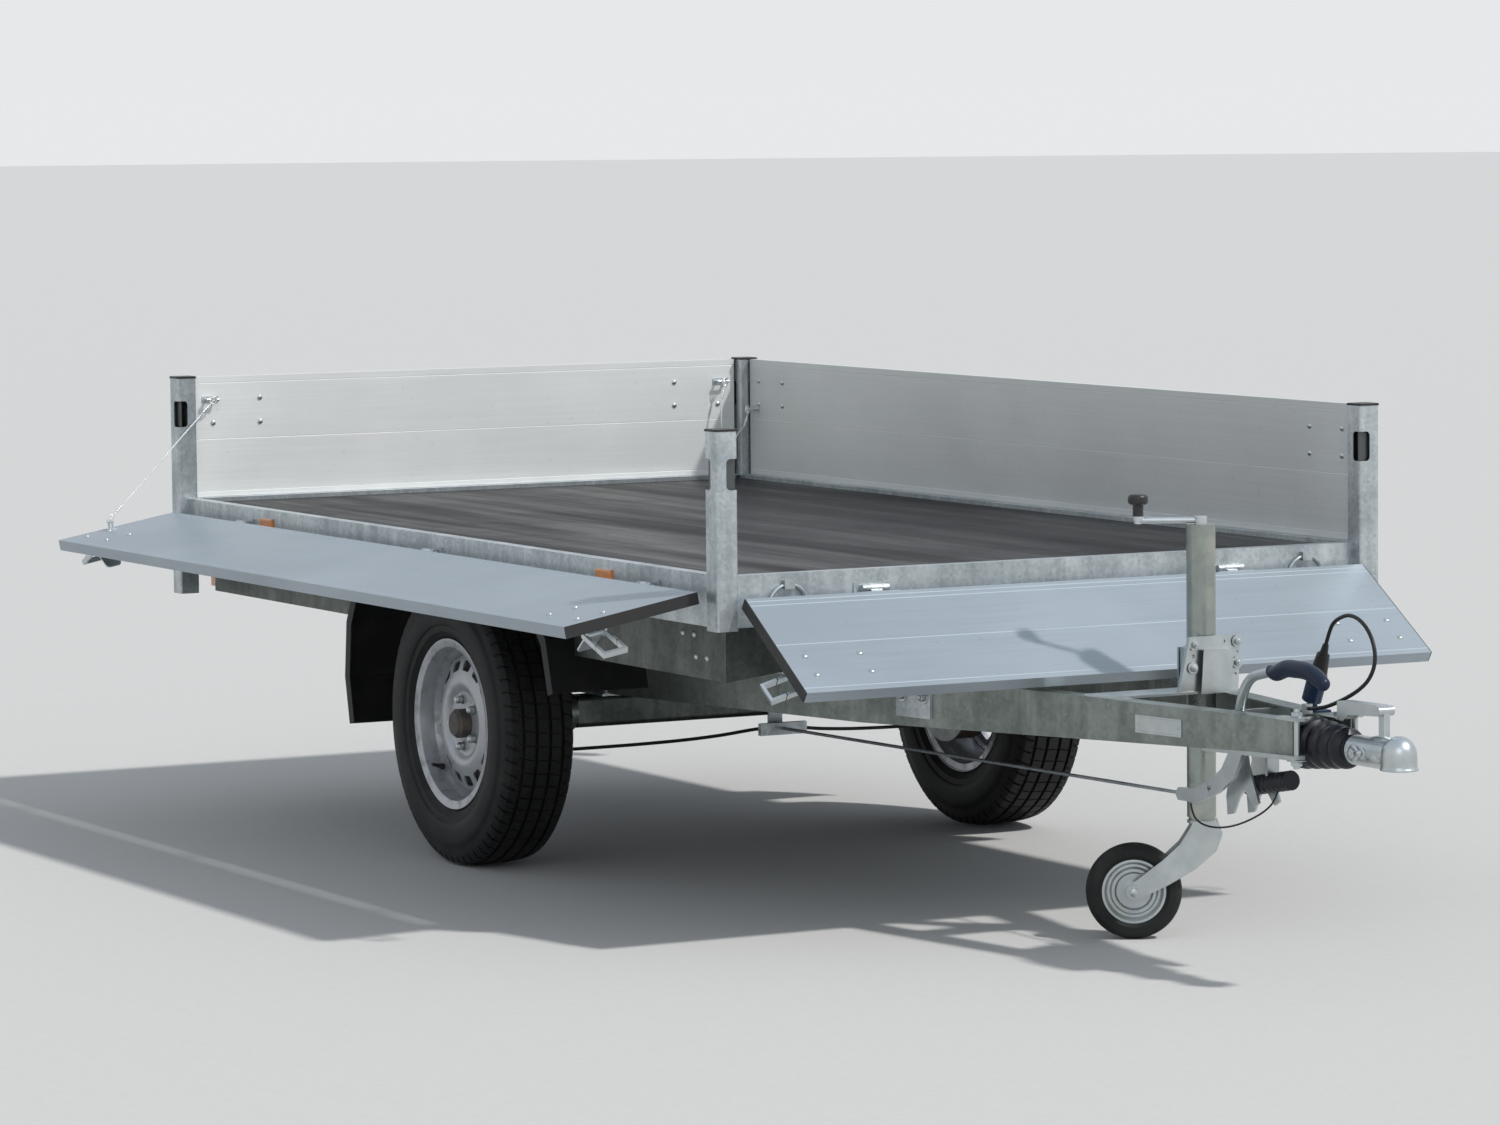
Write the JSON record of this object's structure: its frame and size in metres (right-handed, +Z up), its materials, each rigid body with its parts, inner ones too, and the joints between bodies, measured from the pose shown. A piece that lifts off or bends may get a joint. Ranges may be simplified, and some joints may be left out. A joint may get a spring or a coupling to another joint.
{
  "type": "utility trailer",
  "caption": "Flatbed utility trailer with a V drawbar, drop boards on four sides, one braked axle and a swivelling jockey wheel.",
  "frame": {"origin": "centre of the ball socket in the coupling head", "axes": "+X forward in the towing direction, +Y to the trailer's left, +Z up"},
  "size_m": [4.2065, 1.9762, 1.061],
  "materials": {
    "axle_zinc": "galvanised, dull",
    "rubber": "matt",
    "cable_rubber": "satin",
    "galvanised": "galvanised, mottled",
    "zinc": "zinc plated, bright",
    "drum_iron": "dusty",
    "plywood": "film-faced, glossy",
    "board_aluminium": "anodised, satin",
    "blue_grip": "satin",
    "jockey_rubber": "worn",
    "wire": "twisted wire",
    "guard_plastic": "satin",
    "plate_white": "blank",
    "black_plastic": "satin",
    "blue_plastic": "satin",
    "lamp_red": "lens",
    "wheel_silver": "silver paint",
    "amber": "reflector",
    "tyre": "matt"
  },
  "bodies": {
    "chassis": {"axle_tube": "axle_zinc", "bellows": "rubber", "brake_cables": "cable_rubber", "brake_rod": "galvanised", "clamp_plates": "zinc", "corner_posts": "galvanised", "coupling_handle": "zinc", "coupling_head": "zinc", "cross_members": "galvanised", "damper_cover": "rubber", "deep_beams": "galvanised", "drawbar_arms": "galvanised", "end_rails": "galvanised", "floor_board": "plywood", "handbrake_grip": "blue_grip", "handbrake_lever": "zinc", "hinge_leaves": "galvanised", "jockey_clamp": "zinc", "lashing_rings": "galvanised", "lead_clip": "zinc", "left_cable": "wire", "long_members": "galvanised", "mounting_brackets": "galvanised", "mudguards": "guard_plastic", "number_plate": "plate_white", "overrun_housing": "zinc", "plug": "black_plastic", "plug_holder": "blue_plastic", "plug_lead": "cable_rubber", "post_caps": "black_plastic", "rear_lamps": "lamp_red", "right_cable": "wire", "safety_cable": "cable_rubber", "side_panels": "galvanised", "side_rails": "galvanised", "side_reflectors": "amber", "swing_arms": "axle_zinc"},
    "right_gate": {"right_board": "board_aluminium", "right_board_fittings": "zinc"},
    "left_gate": {"left_board": "board_aluminium", "left_board_fittings": "zinc"},
    "front_gate": {"front_board": "board_aluminium", "front_board_fittings": "zinc"},
    "rear_gate": {"rear_board": "board_aluminium", "rear_board_fittings": "zinc"},
    "jockey_post": {"jockey_tube": "galvanised", "jockey_crank": "zinc"},
    "jockey_slider": {"jockey_leg": "zinc"},
    "jockey_swivel": {"jockey_fork": "zinc"},
    "jockey_wheel": {"jockey_tyre": "jockey_rubber", "jockey_rim": "zinc"},
    "wheel_left": {"tyre_left": "tyre", "rim_left": "wheel_silver", "drum_left": "drum_iron"},
    "wheel_right": {"tyre_right": "tyre", "rim_right": "wheel_silver", "drum_right": "drum_iron"}
  },
  "joints": [
    {"name": "wheel_right_spin", "type": "hinge", "parent": "chassis", "child": "wheel_right", "pos_m": [-2.682, -0.669, -0.138], "axis": [0, 1, 0], "continuous": true},
    {"name": "wheel_left_spin", "type": "hinge", "parent": "chassis", "child": "wheel_left", "pos_m": [-2.682, 0.669, -0.138], "axis": [0, 1, 0], "continuous": true},
    {"name": "right_board_hinge", "type": "hinge", "parent": "chassis", "child": "right_gate", "pos_m": [-2.6975, -0.8025, 0.258], "axis": [-1, 0, 0], "range_deg": [0, 100.4], "deforming": ["right_cable"]},
    {"name": "left_board_hinge", "type": "hinge", "parent": "chassis", "child": "left_gate", "pos_m": [-2.6975, 0.8025, 0.258], "axis": [-1, 0, 0], "range_deg": [0, 100.4], "deforming": ["left_cable"]},
    {"name": "front_board_hinge", "type": "hinge", "parent": "chassis", "child": "front_gate", "pos_m": [-1.2635, 0, 0.258], "axis": [0, -1, 0], "range_deg": [0, 123.5]},
    {"name": "rear_board_hinge", "type": "hinge", "parent": "chassis", "child": "rear_gate", "pos_m": [-4.1315, 0, 0.258], "axis": [0, -1, 0], "range_deg": [0, 100.4]},
    {"name": "jockey_clamp_slide", "type": "slide", "parent": "chassis", "child": "jockey_post", "axis": [0, 0, 1], "range_m": [0, 0.08]},
    {"name": "jockey_spindle", "type": "slide", "parent": "jockey_post", "child": "jockey_slider", "axis": [0, 0, -1], "range_m": [0, 0.15]},
    {"name": "jockey_swivel", "type": "hinge", "parent": "jockey_slider", "child": "jockey_swivel", "pos_m": [-0.831, 0.085, -0.211], "axis": [0, 0, 1], "continuous": true},
    {"name": "jockey_wheel_spin", "type": "hinge", "parent": "jockey_swivel", "child": "jockey_wheel", "pos_m": [-0.90206, -0.03563, -0.362], "axis": [0.8616, -0.5075, 0], "continuous": true}
  ]
}
